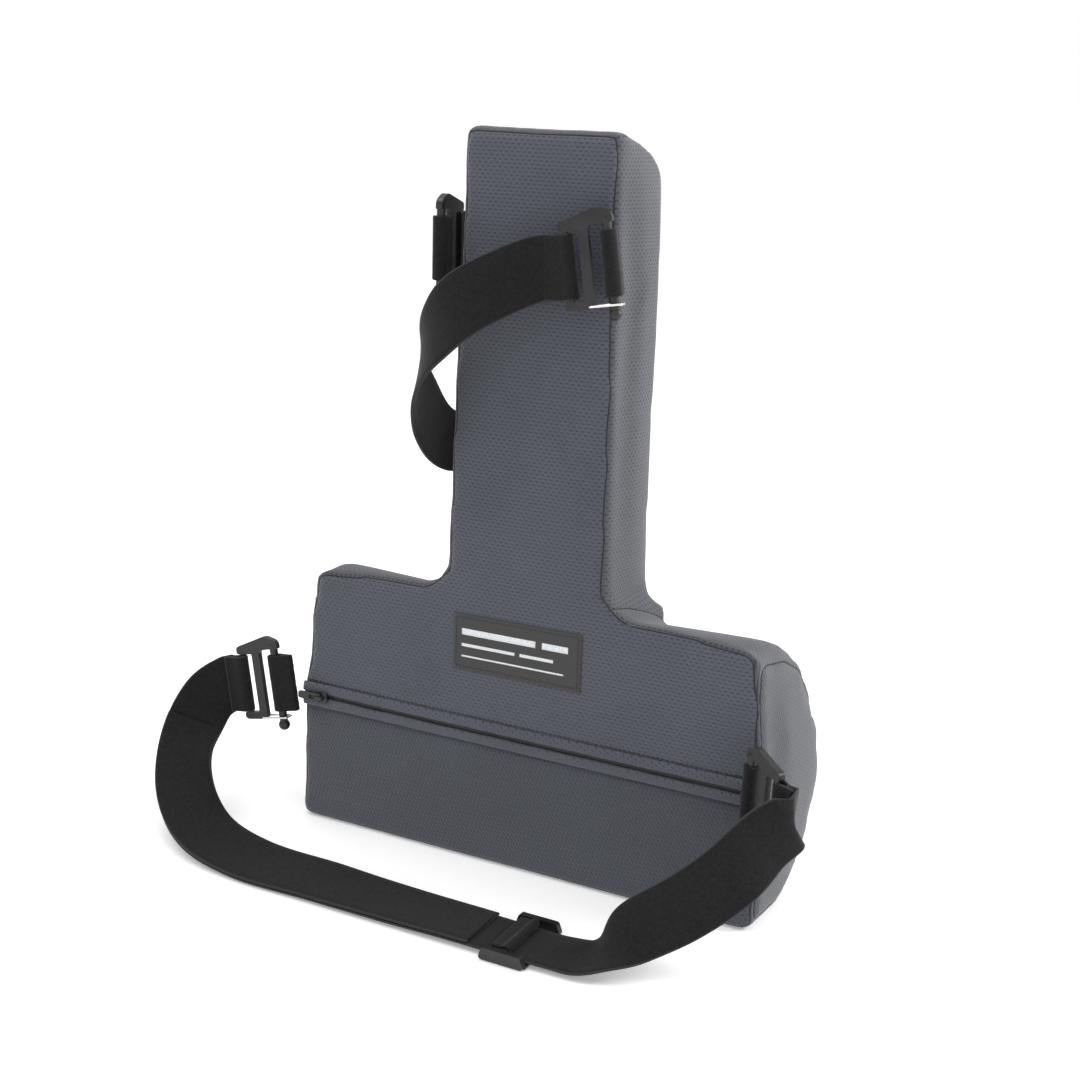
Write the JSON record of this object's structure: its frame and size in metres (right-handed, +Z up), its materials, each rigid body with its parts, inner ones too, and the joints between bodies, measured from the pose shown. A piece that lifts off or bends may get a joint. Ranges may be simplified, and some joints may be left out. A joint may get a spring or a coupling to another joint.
{
  "type": "chair back support",
  "caption": "Chair back support: a foam thoracic column standing on a lumbar roll, in a zipped fabric cover, with webbing straps on gated hooks and a slide adjuster.",
  "frame": {"origin": "centre of the flat foot under the lumbar base, on the floor", "axes": "+X to the right seen from behind (the strap side), +Y forwards towards the sitter, +Z up"},
  "size_m": [0.491, 0.2358, 0.506],
  "materials": {
    "foam": "matt open-cell foam",
    "cover_back": "matt mesh knit",
    "cover_lower": "matt mesh knit, turned across the grain",
    "cover_end": "matt mesh knit",
    "cover_wrap": "matt mesh knit",
    "zipper_tape": "matt woven tape",
    "zipper_plastic": "satin black nylon",
    "label": "flat woven satin",
    "gate_wire": "bright drawn wire",
    "moulded_plastic": "satin moulded black",
    "webbing": "matt brushed elastic webbing"
  },
  "bodies": {
    "support": {"lumbar_foam": "foam", "thoracic_foam": "foam", "back_panel_upper": "cover_back", "back_panel_lower": "cover_lower", "column_wrap_panel": "cover_wrap", "column_top_cap": "cover_wrap", "lumbar_wrap_panel": "cover_wrap", "end_panel_left": "cover_end", "end_panel_right": "cover_end", "zipper_tapes": "zipper_tape", "zipper_coil": "zipper_plastic", "zipper_stops": "zipper_plastic", "zipper_welt_upper": "cover_back", "zipper_welt_lower": "cover_back", "label": "label", "upper_tab_left": "webbing", "upper_tab_right": "webbing", "lower_tab_left": "webbing", "lower_tab_right": "webbing"},
    "zip_slider": {"zipper_slider": "zipper_plastic"},
    "zip_pull": {"zipper_pull": "zipper_plastic"},
    "upper_right_hook": {"upper_hook_right": "moulded_plastic"},
    "upper_left_hook": {"upper_hook_left": "moulded_plastic"},
    "lower_right_hook": {"lower_hook_right": "moulded_plastic"},
    "lower_left_hook": {"lower_hook_left": "moulded_plastic"},
    "upper_right_gate": {"upper_gate_right": "gate_wire"},
    "upper_left_gate": {"upper_gate_left": "gate_wire"},
    "lower_right_gate": {"lower_gate_right": "gate_wire"},
    "lower_left_gate": {"lower_gate_left": "gate_wire"},
    "upper_strap": {"upper_strap": "webbing"},
    "lower_strap": {"lower_strap": "webbing", "lower_strap_return": "webbing"},
    "adjuster": {"slide_adjuster": "moulded_plastic", "strap_end_loop": "webbing"}
  },
  "joints": [
    {"name": "zip_slide", "type": "slide", "parent": "support", "child": "zip_slider", "axis": [1, 0, 0], "range_m": [0, 0.312]},
    {"name": "zip_pull_flip", "type": "hinge", "parent": "zip_slider", "child": "zip_pull", "pos_m": [-0.162, -0.02293, 0.09616], "axis": [0, 0.0828, 0.9966], "range_deg": [0, 170]},
    {"name": "upper_right_hook_swing", "type": "hinge", "parent": "support", "child": "upper_right_hook", "pos_m": [0.06105, -0.0016, 0.42653], "axis": [-0.1541, 0.0547, 0.9865], "range_deg": [-5, 5]},
    {"name": "upper_strap_swing", "type": "hinge", "parent": "upper_right_hook", "child": "upper_strap", "pos_m": [0.03382, -0.00675, 0.42256], "axis": [-0.1541, 0.0547, 0.9865], "range_deg": [-7, 7]},
    {"name": "upper_left_hook_swing", "type": "hinge", "parent": "support", "child": "upper_left_hook", "pos_m": [-0.06605, 0.00139, 0.42628], "axis": [0.0049, 0.0483, 0.9988], "range_deg": [-5, 5]},
    {"name": "lower_left_hook_swing", "type": "hinge", "parent": "support", "child": "lower_left_hook", "pos_m": [-0.2, -0.02071, 0.09999], "axis": [-0.1732, 0.0695, 0.9824], "range_deg": [-7, 7]},
    {"name": "lower_strap_swing", "type": "hinge", "parent": "lower_left_hook", "child": "lower_strap", "pos_m": [-0.22751, -0.02303, 0.0953], "axis": [-0.1732, 0.0695, 0.9824], "range_deg": [-8, 8]},
    {"name": "lower_right_hook_swing", "type": "hinge", "parent": "support", "child": "lower_right_hook", "pos_m": [0.1785, -0.02967, 0.10073], "axis": [0.0293, 0.0638, 0.9975], "range_deg": [-5, 5]},
    {"name": "adjuster_slide", "type": "slide", "parent": "lower_strap", "child": "adjuster", "axis": [1, 0, 0], "range_m": [-0.01, 0.01]},
    {"name": "upper_right_gate_open", "type": "hinge", "parent": "upper_right_hook", "child": "upper_right_gate", "pos_m": [0.0495, -0.00596, 0.39861], "axis": [0.1736, -0.9814, 0.0816], "range_deg": [0, 10], "stiffness_Nm_per_rad": 0.02, "springref_deg": -5.73},
    {"name": "upper_left_gate_open", "type": "hinge", "parent": "upper_left_hook", "child": "upper_left_gate", "pos_m": [-0.06841, 0.01596, 0.39955], "axis": [-0.9903, -0.1387, 0.0115], "range_deg": [0, 10], "stiffness_Nm_per_rad": 0.02, "springref_deg": -5.73},
    {"name": "lower_right_gate_open", "type": "hinge", "parent": "lower_right_hook", "child": "lower_right_gate", "pos_m": [0.19115, -0.04006, 0.07496], "axis": [0.5446, 0.8358, -0.0694], "range_deg": [0, 10], "stiffness_Nm_per_rad": 0.02, "springref_deg": -5.73},
    {"name": "lower_left_gate_open", "type": "hinge", "parent": "lower_left_hook", "child": "lower_left_gate", "pos_m": [-0.21122, -0.02384, 0.07177], "axis": [0.0698, -0.9941, 0.0826], "range_deg": [0, 10], "stiffness_Nm_per_rad": 0.02, "springref_deg": -5.73}
  ],
  "couplings": [
    {"joint": "upper_strap_swing", "follows": "upper_right_hook_swing", "ratio": -1.29},
    {"joint": "upper_left_hook_swing", "follows": "upper_right_hook_swing", "ratio": -0.5427},
    {"joint": "lower_strap_swing", "follows": "lower_left_hook_swing", "ratio": -0.9213},
    {"joint": "lower_right_hook_swing", "follows": "lower_left_hook_swing", "ratio": 0.2484}
  ]
}
